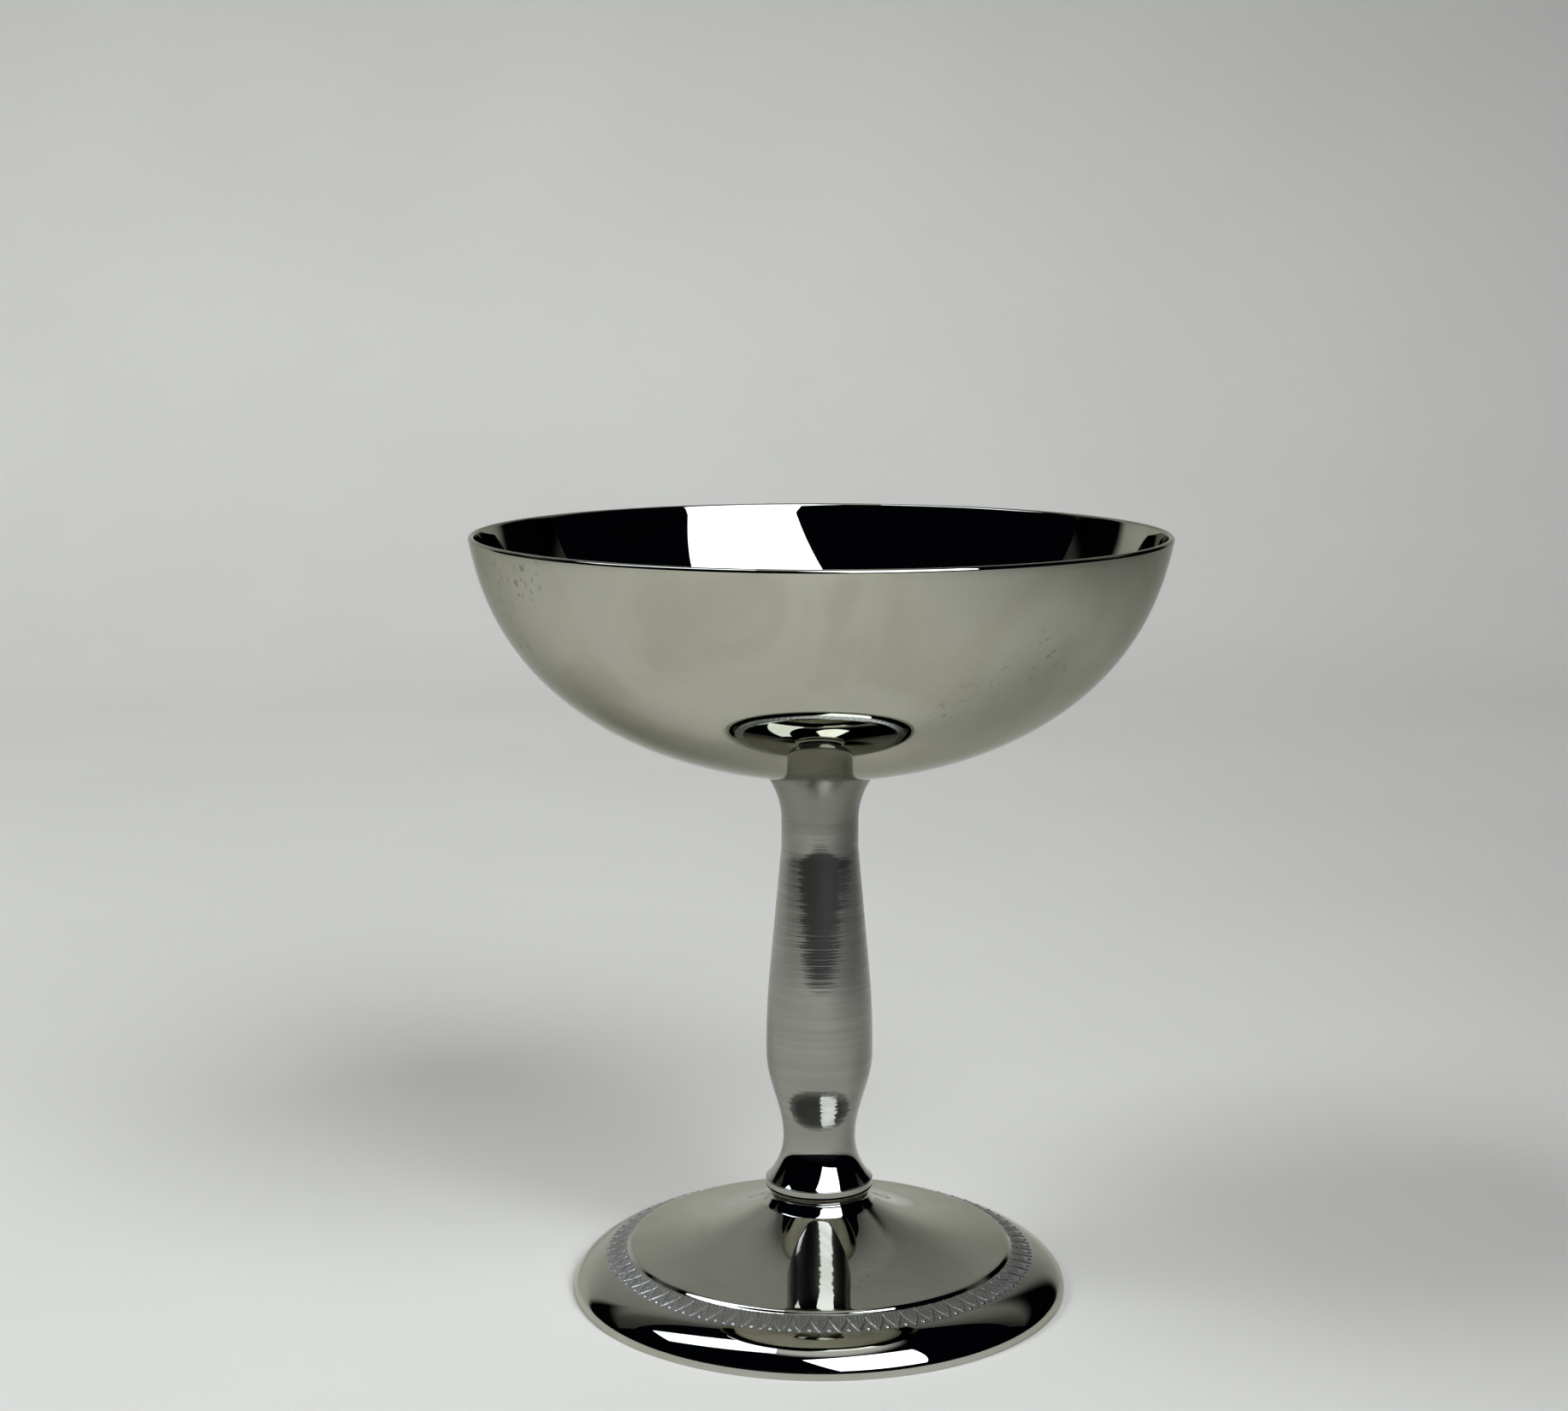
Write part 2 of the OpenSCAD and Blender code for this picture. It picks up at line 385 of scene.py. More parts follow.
def wire(holder: bpy.types.ID, output: str, surface: Wiring) -> bpy.types.ID:
    """Fills the node tree of a material or a world.

    Args:
        holder: What the tree belongs to.
        output: Type of the tree's last node.
        surface: Function that adds the nodes and returns the socket to show.

    Returns:
        The material or the world.
    """
    holder.use_nodes = True
    graph = Graph(holder.node_tree)
    graph.add(output, {"Surface": surface(graph)})
    return holder


def new_material(name: str, surface: Wiring) -> bpy.types.Material:
    """A new material with the nodes and the shader that a function adds."""
    return wire(bpy.data.materials.new(name), "OutputMaterial", surface)


def group_graph(name: str, taken: str, kind: str, given: list[str]) -> tuple[Graph, Socket, dict]:
    """Starts a shader node group with one input.

    Args:
        name: Name of the group.
        taken: Name of the input.
        kind: Type of the input, without its common first word.
        given: Names of the outputs, all of them numbers.

    Returns:
        The group's graph, the socket of its input and those of its outputs, by name.
    """
    tree = bpy.data.node_groups.new(name, "ShaderNodeTree")
    tree.interface.new_socket(name=taken, in_out="INPUT", socket_type="NodeSocket" + kind)
    for socket in given:
        tree.interface.new_socket(name=socket, in_out="OUTPUT", socket_type="NodeSocketFloat")
    graph = Graph(tree)
    source = tree.nodes.new("NodeGroupInput").outputs[taken]
    return graph, source, dict(tree.nodes.new("NodeGroupOutput").inputs.items())


FILM_CLOUD = Grain(detail=5.0, kept=(0.42, 0.68), distortion=1.6)
SPOT_PATCHES = Grain(scale=34.0, detail=2.0, kept=(0.60, 0.70))
SPOT_FLECKS = Grain(scale=900.0, detail=3.0, kept=(0.56, 0.70))


@cache
def handling_film() -> bpy.types.NodeTree:
    """Node group for the film that hands and cloths leave on a polished surface.

    Returns:
        A group with the outputs Film, a soft cloud, and Spots, small dark flecks in a few places.
    """
    graph, scale, given = group_graph("handling_film", "Cloud Scale", "Float", ["Film", "Spots"])
    place = graph.place()
    cloud = graph.noise(place, FILM_CLOUD, scale)
    spots = graph.product(graph.mask(place, SPOT_PATCHES), graph.mask(place, SPOT_FLECKS))
    graph.tree.links.new(graph.ramp(cloud, FILM_CLOUD.kept), given["Film"])
    graph.tree.links.new(spots, given["Spots"])
    return graph.tree


FINE_LINES = Grain(detail=2.0, stretch=(40.0, 40.0, 5200.0))
BROAD_LINES = Grain(detail=3.0, kept=(0.3, 0.7), stretch=(18.0, 18.0, 900.0))
FINE_DEPTH = 0.35


@cache
def tool_lines() -> bpy.types.NodeTree:
    """Node group for the fine lines that a lathe tool or a polishing wheel leaves.

    Returns:
        A group with the input Vector, whose first two parts run along the lines and whose third
        runs across them, and the outputs Height, for bump, and Tone, for broad stripes.
    """
    graph, place, given = group_graph("tool_lines", "Vector", "Vector", ["Height", "Tone"])
    fine = graph.noise(place, FINE_LINES)
    broad = graph.noise(place, BROAD_LINES)
    height = graph.math("ADD", graph.product(fine, FINE_DEPTH), broad)
    graph.tree.links.new(height, given["Height"])
    graph.tree.links.new(graph.ramp(broad, BROAD_LINES.kept), given["Tone"])
    return graph.tree


# Finishes


@dataclass(frozen=True)
class Steel(ABC):
    """What every steel finish has: its name, colour and gloss."""

    name: str
    tint: Rgb
    roughness: float

    def material(self) -> bpy.types.Material:
        """The finish as a new material."""
        return new_material(self.name, self.surface)

    @abstractmethod
    def surface(self, graph: Graph) -> Socket:
        """Adds this finish's colour, gloss and relief.

        Args:
            graph: The material's graph.

        Returns:
            The shader.
        """


@dataclass(frozen=True)
class MirrorSteel(Steel):
    """Sheet polished to a mirror, with a faint film from handling."""

    edge_tint: Rgb
    film_tint: Rgb
    film_roughness: float
    spot_tint: Rgb
    cloud_scale: float
    ripple: float
    waves: Grain = Grain(scale=45.0, detail=1.0)

    def surface(self, graph: Graph) -> Socket:
        """Film in the colour and the gloss, and the slight waviness of pressed sheet.

        Args:
            graph: The material's graph.

        Returns:
            The shader.
        """
        film = graph.effect(handling_film(), {"Cloud Scale": self.cloud_scale})
        filmed = graph.mix(film["Film"], self.tint, self.film_tint)
        spotted = graph.mix(film["Spots"], filmed, self.spot_tint)
        gloss = graph.ramp(film["Film"], UNIT, (self.roughness, self.film_roughness))
        relief = graph.bump(graph.noise(graph.place(), self.waves), self.ripple)
        return graph.steel(spotted, gloss, relief, {"Specular Tint": self.edge_tint})


@dataclass(frozen=True)
class TurnedSteel(Steel):
    """Solid bar left as turned, with fine lines around it, and polished at its lower end."""

    polished_roughness: float
    haze: float
    haze_roughness: float
    dull_roughness: float
    # Darker colour of the neck: partly painted shade under the cup, partly its dull, scratched finish.
    dull_and_shade_tint: Rgb
    dull_and_shade_from: Point
    chatter: float
    satin_from: Point
    line_tint: Rgb
    line_depth: float
    spread: float
    quarter_turn: float = 0.25
    marks: Grain = Grain(detail=2.0, stretch=(130.0, 130.0, 3800.0))
    marks_middle: float = 0.5

    def surface(self, graph: Graph) -> Socket:
        """Turning lines in the colour and the relief, fading into the polished end, and a dull neck whose
        colour is darker, partly as painted shade under the cup.

        Args:
            graph: Graph of the material.

        Returns:
            A mix of a clear and a hazy shader.
        """
        place = graph.place()
        height = graph.parts(place)[2]
        satin = graph.ramp(height, self.satin_from)
        neck = graph.ramp(height, self.dull_and_shade_from)
        lines = graph.effect(tool_lines(), {"Vector": place})
        lined = graph.mix(graph.product(lines["Tone"], satin), self.tint, self.line_tint)
        # Painted shade: the neck just under the cup is darker, partly painted shade from the cup above and
        # partly its dull, scratched finish.
        colour = graph.mix(neck, lined, self.dull_and_shade_tint)
        bright = graph.ramp(satin, UNIT, (self.polished_roughness, self.roughness))
        gloss = graph.most(bright, graph.product(neck, self.dull_roughness))
        tangent = graph.add("Tangent", direction_type="RADIAL", axis="Z").outputs[0]
        marks = graph.math("SUBTRACT", graph.noise(place, self.marks), self.marks_middle)
        skew = graph.product(marks, self.chatter, satin)
        aside = graph.add("VectorMath", {0: tangent, "Scale": skew}, operation="SCALE").outputs[0]
        normal = graph.add("NewGeometry").outputs["Normal"]
        leaning = graph.add("VectorMath", {0: normal, 1: aside}, operation="ADD").outputs[0]
        relief = graph.bump(graph.product(lines["Height"], satin), self.line_depth, Normal=leaning)
        along = {"Anisotropic": self.spread, "Anisotropic Rotation": self.quarter_turn, "Tangent": tangent}
        clear = graph.steel(colour, gloss, relief, along)
        hazy = graph.add("BsdfGlossy", {"Color": colour, "Roughness": self.haze_roughness}).outputs[0]
        share = graph.product(satin, self.haze)
        return graph.add("MixShader", {0: share, 1: clear, 2: hazy}).outputs[0]


@dataclass(frozen=True)
class CoinedSteel(Steel):
    """Ornamented steel straight from the press, with a fine matt grain."""

    hollow_tint: Rgb
    grain_depth: float
    grain: Grain = Grain(scale=6500.0, detail=3.0, kept=(0.3, 0.7))
    hollows: Point = (0.6, 0.35)
    dulling: float = 1.6

    def surface(self, graph: Graph) -> Socket:
        """Grain in the colour, the gloss and the relief.

        Args:
            graph: The material's graph.

        Returns:
            The shader.
        """
        grain = graph.noise(graph.place(), self.grain)
        colour = graph.mix(graph.ramp(grain, self.hollows), self.tint, self.hollow_tint)
        gloss = graph.ramp(grain, self.grain.kept, (self.roughness, self.roughness * self.dulling))
        return graph.steel(colour, gloss, graph.bump(grain, self.grain_depth))


@dataclass(frozen=True)
class PressedSteel(Steel):
    """Inside of a pressed sheet, dull and marked by the rings of the spinning tool."""

    ring_tint: Rgb
    ring_depth: float
    dulling: float = 1.4

    def surface(self, graph: Graph) -> Socket:
        """Rings about the axis in the colour, the gloss and the relief.

        Args:
            graph: The material's graph.

        Returns:
            The shader.
        """
        flat = graph.scaled(graph.place(), (1.0, 1.0, 0.0))
        radius = graph.add("VectorMath", {0: flat}, operation="LENGTH").outputs["Value"]
        across = graph.add("CombineXYZ", {2: radius}).outputs[0]
        lines = graph.effect(tool_lines(), {"Vector": across})
        colour = graph.mix(lines["Tone"], self.tint, self.ring_tint)
        gloss = graph.ramp(lines["Tone"], UNIT, (self.roughness, self.roughness * self.dulling))
        return graph.steel(colour, gloss, graph.bump(lines["Height"], self.ring_depth))


@dataclass(frozen=True)
class PlatedSteel(Steel):
    """Plated hardware with a slightly cloudy, grainy surface."""

    cloud_tint: Rgb
    cloud: Grain = Grain(scale=420.0, detail=4.0, kept=(0.35, 0.65))
    dulling: float = 1.7
    grain: Grain = Grain(scale=3800.0, detail=2.0)
    grain_depth: float = 0.000006

    def surface(self, graph: Graph) -> Socket:
        """Cloudy colour and gloss over a fine grain.

        Args:
            graph: The material's graph.

        Returns:
            The shader.
        """
        place = graph.place()
        cloud = graph.mask(place, self.cloud)
        colour = graph.mix(cloud, self.tint, self.cloud_tint)
        gloss = graph.ramp(cloud, UNIT, (self.roughness, self.roughness * self.dulling))
        return graph.steel(colour, gloss, graph.bump(graph.noise(place, self.grain), self.grain_depth))


CUP_FINISH = MirrorSteel(
    name="polished_cup",
    tint=(0.475, 0.471, 0.398),
    roughness=0.012,
    edge_tint=(0.60, 0.60, 0.56),
    film_tint=(0.425, 0.418, 0.338),
    film_roughness=0.025,
    spot_tint=(0.300, 0.290, 0.240),
    cloud_scale=42.0,
    ripple=0.00002,
)
FOOT_FINISH = MirrorSteel(
    name="polished_foot",
    tint=(0.475, 0.470, 0.415),
    roughness=0.010,
    edge_tint=(0.85, 0.85, 0.80),
    film_tint=(0.440, 0.431, 0.368),
    film_roughness=0.020,
    spot_tint=(0.320, 0.310, 0.270),
    cloud_scale=60.0,
    ripple=0.00001,
)
STEM_FINISH = TurnedSteel(
    name="turned_stem_steel",
    tint=(0.362, 0.358, 0.322),
    roughness=0.045,
    polished_roughness=0.010,
    haze=0.24,
    haze_roughness=0.40,
    dull_roughness=0.32,
    # Darker neck colour: partly painted shade under the cup, partly dull wear.
    dull_and_shade_tint=(0.275, 0.272, 0.235),
    dull_and_shade_from=(0.066, 0.073),
    chatter=0.30,
    satin_from=(0.0205, 0.0245),
    line_tint=(0.320, 0.316, 0.287),
    line_depth=0.000012,
    spread=0.7,
)
BAND_FINISH = CoinedSteel(
    name="band_coined_steel",
    tint=(0.500, 0.500, 0.480),
    roughness=0.170,
    hollow_tint=(0.380, 0.380, 0.360),
    grain_depth=0.00003,
)
UNDER_FINISH = PressedSteel(
    name="foot_pressed_inside",
    tint=(0.460, 0.455, 0.430),
    roughness=0.260,
    ring_tint=(0.390, 0.385, 0.365),
    ring_depth=0.000008,
)
ROD_FINISH = PlatedSteel(
    name="rod_plated_steel",
    tint=(0.560, 0.555, 0.530),
    roughness=0.240,
    cloud_tint=(0.430, 0.430, 0.420),
)
WASHER_FINISH = PlatedSteel(
    name="washer_plated_steel",
    tint=(0.600, 0.600, 0.590),
    roughness=0.260,
    cloud_tint=(0.470, 0.470, 0.465),
)
SPRING_FINISH = PlatedSteel(
    name="spring_dark_steel",
    tint=(0.180, 0.180, 0.185),
    roughness=0.300,
    cloud_tint=(0.110, 0.108, 0.108),
)
NUT_FINISH = PlatedSteel(
    name="nut_plated_steel",
    tint=(0.590, 0.590, 0.580),
    roughness=0.220,
    cloud_tint=(0.450, 0.450, 0.440),
)


# Pieces


class TurnedPiece(ABC):
    """A piece that is built as a mesh, dressed with its finishes and tied to the frame."""

    name: str
    node: Node
    slot: Slot
    finishes: tuple[Steel, ...]
    sharp: float

    @abstractmethod
    def build(self) -> Mesh:
        """Builds the piece's mesh in its place."""

    def dress(self, piece: bpy.types.Object) -> None:
        """Gives the piece its materials."""
        for finish in self.finishes:
            piece.data.materials.append(finish.material())

    def make(self) -> bpy.types.Object:
        """Builds and dresses the piece, which then stands for its node.

        Returns:
            The finished piece.
        """
        piece = smooth_object(self.build(), self.name, self.sharp)
        self.dress(piece)
        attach(piece, BODY)
        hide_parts(self.node.value)
        return piece


@dataclass
class CupBowl(TurnedPiece):
    """Wide, shallow cup of polished sheet with a rounded rim."""

    name = "cup_shell"
    node = Node.CUP
    slot = Slot.CUP
    finishes = (CUP_FINISH,)
    sharp = 60.0

    rim_r: float = 0.049985
    sheet: float = 0.0009
    depth: float = 0.0349
    wall_reach: float = 0.0146
    wall_fullness: float = 2.75
    wall_steps: int = 72
    rim_steps: int = 12
    segments: int = 320

    def wall(self) -> Outline:
        """Outside of the cup from the axis to the rim.

        Returns:
            Points of a superellipse that leans outwards at the rim.
        """
        bottom_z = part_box(self.node.value)[0].z
        reach = self.depth + self.wall_reach
        upright_share = ((self.wall_reach + self.sheet / 2) / reach) ** self.wall_fullness
        wall_r = self.rim_r / math.sqrt(1 - upright_share)
        rim_angle = math.asin(self.rim_r / wall_r)
        radii = [wall_r * math.sin(rim_angle * t) for t in shares(self.wall_steps)]
        fall = [(1 - (radius / wall_r) ** 2) ** (1 / self.wall_fullness) for radius in radii]
        return [(radius, bottom_z + reach * (1 - share)) for radius, share in zip(radii, fall)]

    def build(self) -> Mesh:
        """Turns the sheet's section, with a full round at the rim.

        Returns:
            The cup's mesh.
        """
        outside = self.wall()
        inside = moved(outside, self.sheet)
        outer_end = Vector(outside[-1])
        inner_end = Vector(inside[-1])
        middle = (outer_end + inner_end) / 2
        across = outer_end - inner_end
        lean = math.degrees(math.atan2(across.y, across.x))
        rim = arc(tuple(middle), self.sheet / 2, lean, lean + 180, self.rim_steps)
        return turned(outside[:-1] + rim + inside[-2::-1], self.segments)


@dataclass
class Stem(TurnedPiece):
    """Turned stem: a flare under the cup, a neck, a long swell, a waist and a bell on the foot."""

    name = "turned_stem"
    node = Node.STEM
    slot = Slot.STEM
    finishes = (STEM_FINISH,)
    sharp = 32.0

    flare_h: float = 0.0071
    neck_r: float = 0.0056
    neck_h: float = 0.0040
    taper_h: float = 0.0293
    taper_straight: float = 0.63
    swell_r: float = 0.0078
    shoulder_h: float = 0.0128
    waist_r: float = 0.0053
    bell_h: float = 0.0063
    lip_r: float = 0.0079
    lip_h: float = 0.0013
    lip_edge: float = 0.00015
    undercut_h: float = 0.0009
    seat_r: float = 0.0071
    spigot_r: float = 0.0040
    bore_r: float = 0.00265
    head_r: float = 0.0047
    head_depth: float = 0.0018
    head_sunk: float = 0.0009
    steps: int = 28
    edge_steps: int = 5
    segments: int = 192

    def taper_widening(self, share: float) -> float:
        """Widening of the taper, straight first and then rounding over.

        Args:
            share: Share of the way down the taper.

        Returns:
            Share of the widening reached there.
        """
        straight = self.taper_straight
        if share < straight:
            return 2 * share / (1 + straight)
        return 1 - (1 - share) ** 2 / (1 - straight**2)

    def side(self, seat_z: float, flare_r: float, top_z: float) -> Outline:
        """Outside of the stem from the foot up to the cup.

        Args:
            seat_z: Height of the foot's crown.
            flare_r: Radius of the flare's edge.
            top_z: Height of the flare's edge.

        Returns:
            Points from the seat to the edge of the flare.
        """
        lip_z = seat_z + self.undercut_h
        bell_z = lip_z + self.lip_h
        waist_z = bell_z + self.bell_h
        flare_z = top_z - self.flare_h
        neck_z = flare_z - self.neck_h
        edge_r = self.lip_r - self.lip_edge
        shoulder_w = self.swell_r - self.waist_r
        taper_w = self.swell_r - self.neck_r
        lower = arc((edge_r, lip_z + self.lip_edge), self.lip_edge, -90, 0, self.edge_steps)
        upper = arc((edge_r, bell_z - self.lip_edge), self.lip_edge, 0, 90, self.edge_steps)
        bell = cove((self.waist_r, waist_z), (edge_r, bell_z), self.steps)[::-1]
        shoulder = [
            (self.waist_r + shoulder_w * (1 - math.cos(math.pi * t)) / 2, waist_z + self.shoulder_h * t)
            for t in shares(self.steps)
        ]
        taper = [
            (self.neck_r + taper_w * self.taper_widening(t), neck_z - self.taper_h * t)
            for t in reversed(shares(self.steps))
        ]
        flare = cove((self.neck_r, flare_z), (flare_r, top_z), self.steps)
        return [(self.seat_r, seat_z)] + lower + upper + bell[1:] + shoulder[1:] + taper + flare

    def build(self) -> Mesh:
        """Turns the stem with its spigot, its bore and the recess for the rod's head.

        Returns:
            The stem's mesh.
        """
        low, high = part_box(self.node.value)
        seat_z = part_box(Node.FOOT.value)[1].z
        head_top = high.z - self.head_sunk
        head_z = head_top - self.head_depth
        inside = [
            (self.head_r, head_top),
            (self.head_r, head_z),
            (self.bore_r, head_z),
            (self.bore_r, low.z),
            (self.spigot_r, low.z),
            (self.spigot_r, seat_z),
        ]
        return turned(self.side(seat_z, high.x, high.z) + inside, self.segments, closed=True)


@dataclass
class LeafMotif:
    """One leaf of the stamped band: ribbed edges, veins and a pearl between two tips."""

    count: int = 72
    tip: float = 0.93
    base_share: float = 0.47
    side_curve: float = 1.7
    rib_height: float = 0.00011
    rib_width: float = 0.00013
    vein_height: float = 0.00006
    vein_width: float = 0.00008
    pearl_place: float = 0.84
    pearl_r: float = 0.00030
    pearl_height: float = 0.00015
    fade: float = 0.05

    def height(self, turn: float, across: float, pitch: float, width: float) -> float:
        """Height of the relief over the plain band.

        Args:
            turn: Share of a motif around the band, from -0.5 to 0.5, with the leaf at 0.
            across: Share of the band's width, from its inner edge.
            pitch: Width of a motif at this place.
            width: Width of the band.

        Returns:
            The height in metres.
        """
        side = abs(turn)
        across = min(max(across, 0.0), 1.0)
        down = min(across / self.tip, 1.0)
        half = self.base_share * (1 - down**self.side_curve)
        rib = self.ridge((side - half) * pitch, self.rib_width) * self.rib_height
        if across > self.tip:
            rib *= self.ridge((across - self.tip) * width, self.rib_width)
        veins = 0.0
        if side < half:
            for line in (0.0, half / 2):
                veins += self.ridge((side - line) * pitch, self.vein_width) * self.vein_height
        near = math.hypot((0.5 - side) * pitch, (across - self.pearl_place) * width) / self.pearl_r
        pearl = math.sqrt(1 - near**2) * self.pearl_height if near < 1 else 0.0
        ease = min(1.0, across / self.fade, (1 - across) / self.fade)
        return max(rib, veins, pearl) * ease

    @staticmethod
    def ridge(distance: float, width: float) -> float:
        """A rounded ridge, 1 on its line and falling to 0 beside it."""
        return math.exp(-((distance / width) ** 2))


@dataclass
class Foot(TurnedPiece):
    """Pressed round foot: a rolled border, a stamped band of leaves and a trumpet-shaped face."""

    name = "foot_shell"
    node = Node.FOOT
    slot = Slot.FOOT
    finishes = (FOOT_FINISH, BAND_FINISH, UNDER_FINISH)
    sharp = 32.0

    sheet: float = 0.0010
    edge_h: float = 0.0006
    edge_w: float = 0.0003
    roll_w: float = 0.0047
    roll_h: float = 0.0049
    roll_fullness: float = 0.7
    band_w: float = 0.0032
    band_slope: float = 20.0
    band_step: float = 0.0005
    band_weld: float = 0.000008
    step_round: float = 0.00012
    face_slope: float = 4.5
    rise_slope: float = 33.0
    collar_w: float = 0.0009
    collar_h: float = 0.0017
    collar_slope: float = 62.0
    collar_fullness: float = 1.5
    crown_r: float = 0.0074
    crown_edge: float = 0.0003
    hole_r: float = 0.0041
    steps: int = 28
    hollow_stride: int = 2
    collar_steps: int = 12
    edge_steps: int = 6
    band_rows: int = 24
    band_columns: int = 24
    plain_columns: int = 4

    def __post_init__(self) -> None:
        """Works out the stations of the section from the frame."""
        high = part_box(self.node.value)[1]
        self.edge_r = high.x
        self.crown_z = high.z
        self.leaves = LeafMotif()
        self.band_rise = math.tan(math.radians(self.band_slope))
        self.band_outer = (self.edge_r - self.roll_w, self.roll_h)
        self.band_inner = (self.band_outer[0] - self.band_w, self.roll_h + self.band_w * self.band_rise)
        self.face_outer = (self.band_inner[0] - self.band_step, self.band_inner[1] + self.band_step)
        self.collar_foot = (self.crown_r + self.collar_w, self.crown_z - self.collar_h)
        self.crown_side = (self.crown_r, self.crown_z - self.crown_edge)

    def roll(self) -> Outline:
        """Rolled border from the upright edge to the band."""
        start, corner = (self.edge_r, self.edge_h), (self.edge_r, self.roll_h - self.roll_w * self.band_rise)
        return corner_curve(start, corner, self.band_outer, self.roll_fullness, self.steps)

    def face(self) -> Outline:
        """Trumpet-shaped face and the collar.

        Returns:
            Points from the step to the side of the crown.
        """
        start, middle, end = self.face_outer, self.collar_foot, self.crown_side
        low = crossing(start, self.face_slope, middle, self.rise_slope)
        high = crossing(middle, self.rise_slope, end, self.collar_slope)
        collar = corner_curve(middle, high, end, self.collar_fullness, self.collar_steps)
        return corner_curve(start, low, middle, 1.0, self.steps) + collar[1:]

    def plain_section(self) -> Outline:
        """Section of all that lies outside the band.

        Returns:
            Points from beside the band's outer edge round below the sheet to beside the step.
        """
        roll = self.roll()
        face = self.face()
        hollow_z = self.crown_z - self.sheet
        above = [(self.edge_r, 0.0)] + roll[:: self.hollow_stride] + face[:: self.hollow_stride]
        under = moved(above, self.sheet)
        hollow = [(radius, max(0.0, height)) for radius, height in under if height < hollow_z]
        inner = [(hollow[-1][0], hollow_z), (self.hole_r, hollow_z), (self.hole_r, self.crown_z)]
        centre = (self.crown_r - self.crown_edge, self.crown_side[1])
        crown = arc(centre, self.crown_edge, 90, 0, self.edge_steps)
        below = [(self.edge_r, 0.0)] + hollow + inner
        return roll[-2::-1] + below + crown + face[-2:0:-1]

    def step(self) -> Outline:
        """Step from the face down to the band, rounded at both of its corners.

        Returns:
            Points from the face to the band.
        """
        top, foot = Vector(self.face_outer), Vector(self.band_inner)
        above = top + (Vector(self.face()[1]) - top).normalized() * self.step_round
        below = foot + (Vector(self.band_outer) - foot).normalized() * self.step_round
        middle = tuple((top + foot) / 2)
        upper = corner_curve(tuple(above), self.face_outer, middle, 1.0, self.edge_steps)
        return upper + corner_curve(middle, self.band_inner, tuple(below), 1.0, self.edge_steps)[1:]

    def band(self) -> Mesh:
        """The step and the stamped band as a fine ring raised by its leaves.

        Returns:
            A ring whose two borders lie on the face and on the rolled border.
        """
        step = self.step()
        inner, outer = Vector(step[-1]), Vector(self.band_outer)
        flat = [tuple(inner.lerp(outer, t)) for t in shares(self.band_rows)]
        rows = [self.face()[1]] + step[:-1] + flat + [self.roll()[-2]]
        count = self.leaves.count
        mesh = turned(rows, count * self.band_columns, wedges=count, stamp=self.stamp)
        for face in mesh.faces:
            inside = self.band_inner[0] < self.radius_of(face) < self.band_outer[0]
            face.material_index = FootFace.COINED if inside else FootFace.POLISHED
        return mesh

    def stamp(self, mesh: Mesh) -> None:
        """Raises the relief of one leaf.

        Args:
            mesh: One wedge of the band.
        """
        start, end = Vector(self.band_inner), Vector(self.band_outer)
        slope = math.radians(self.band_slope)
        for vert in mesh.verts:
            radius = math.hypot(vert.co.x, vert.co.y)
            around = math.atan2(vert.co.y, vert.co.x) / FULL_TURN * self.leaves.count
            across = (radius - start.x) / (end.x - start.x)
            pitch = FULL_TURN * radius / self.leaves.count
            lift = self.leaves.height(around - 0.5, across, pitch, (end - start).length)
            outward = Vector((vert.co.x, vert.co.y, 0.0)).normalized() * math.sin(slope)
            vert.co += (outward + Vector((0.0, 0.0, math.cos(slope)))) * lift

    def build(self) -> Mesh:
        """Turns the plain sheet, then welds the stamped band into it.

        Returns:
            The foot's mesh, its faces numbered by finish.
        """
        mesh = turned(self.plain_section(), self.leaves.count * self.plain_columns)
        for face in mesh.faces:
            face.material_index = FootFace.PRESSED if self.is_inside(face) else FootFace.POLISHED
        borders = [edge for edge in mesh.edges if edge.is_boundary]
        cuts = self.band_columns // self.plain_columns - 1
        bmesh.ops.subdivide_edges(mesh, edges=borders, cuts=cuts)
        band = self.band()
        data = bpy.data.meshes.new("band")
        band.to_mesh(data)
        band.free()
        mesh.from_mesh(data)
        bpy.data.meshes.remove(data)
        weld(mesh, self.band_weld)
        return mesh

    @staticmethod
    def radius_of(face: bmesh.types.BMFace) -> float:
        """Distance of a face's middle from the axis."""
        return face.calc_center_median().xy.length

    def is_inside(self, face: bmesh.types.BMFace) -> bool:
        """Whether a face of the plain sheet belongs to its dull inside."""
        below = face.normal.z < 0 or face.calc_center_median().z < self.edge_h
        return below and self.radius_of(face) <= self.edge_r - self.edge_w


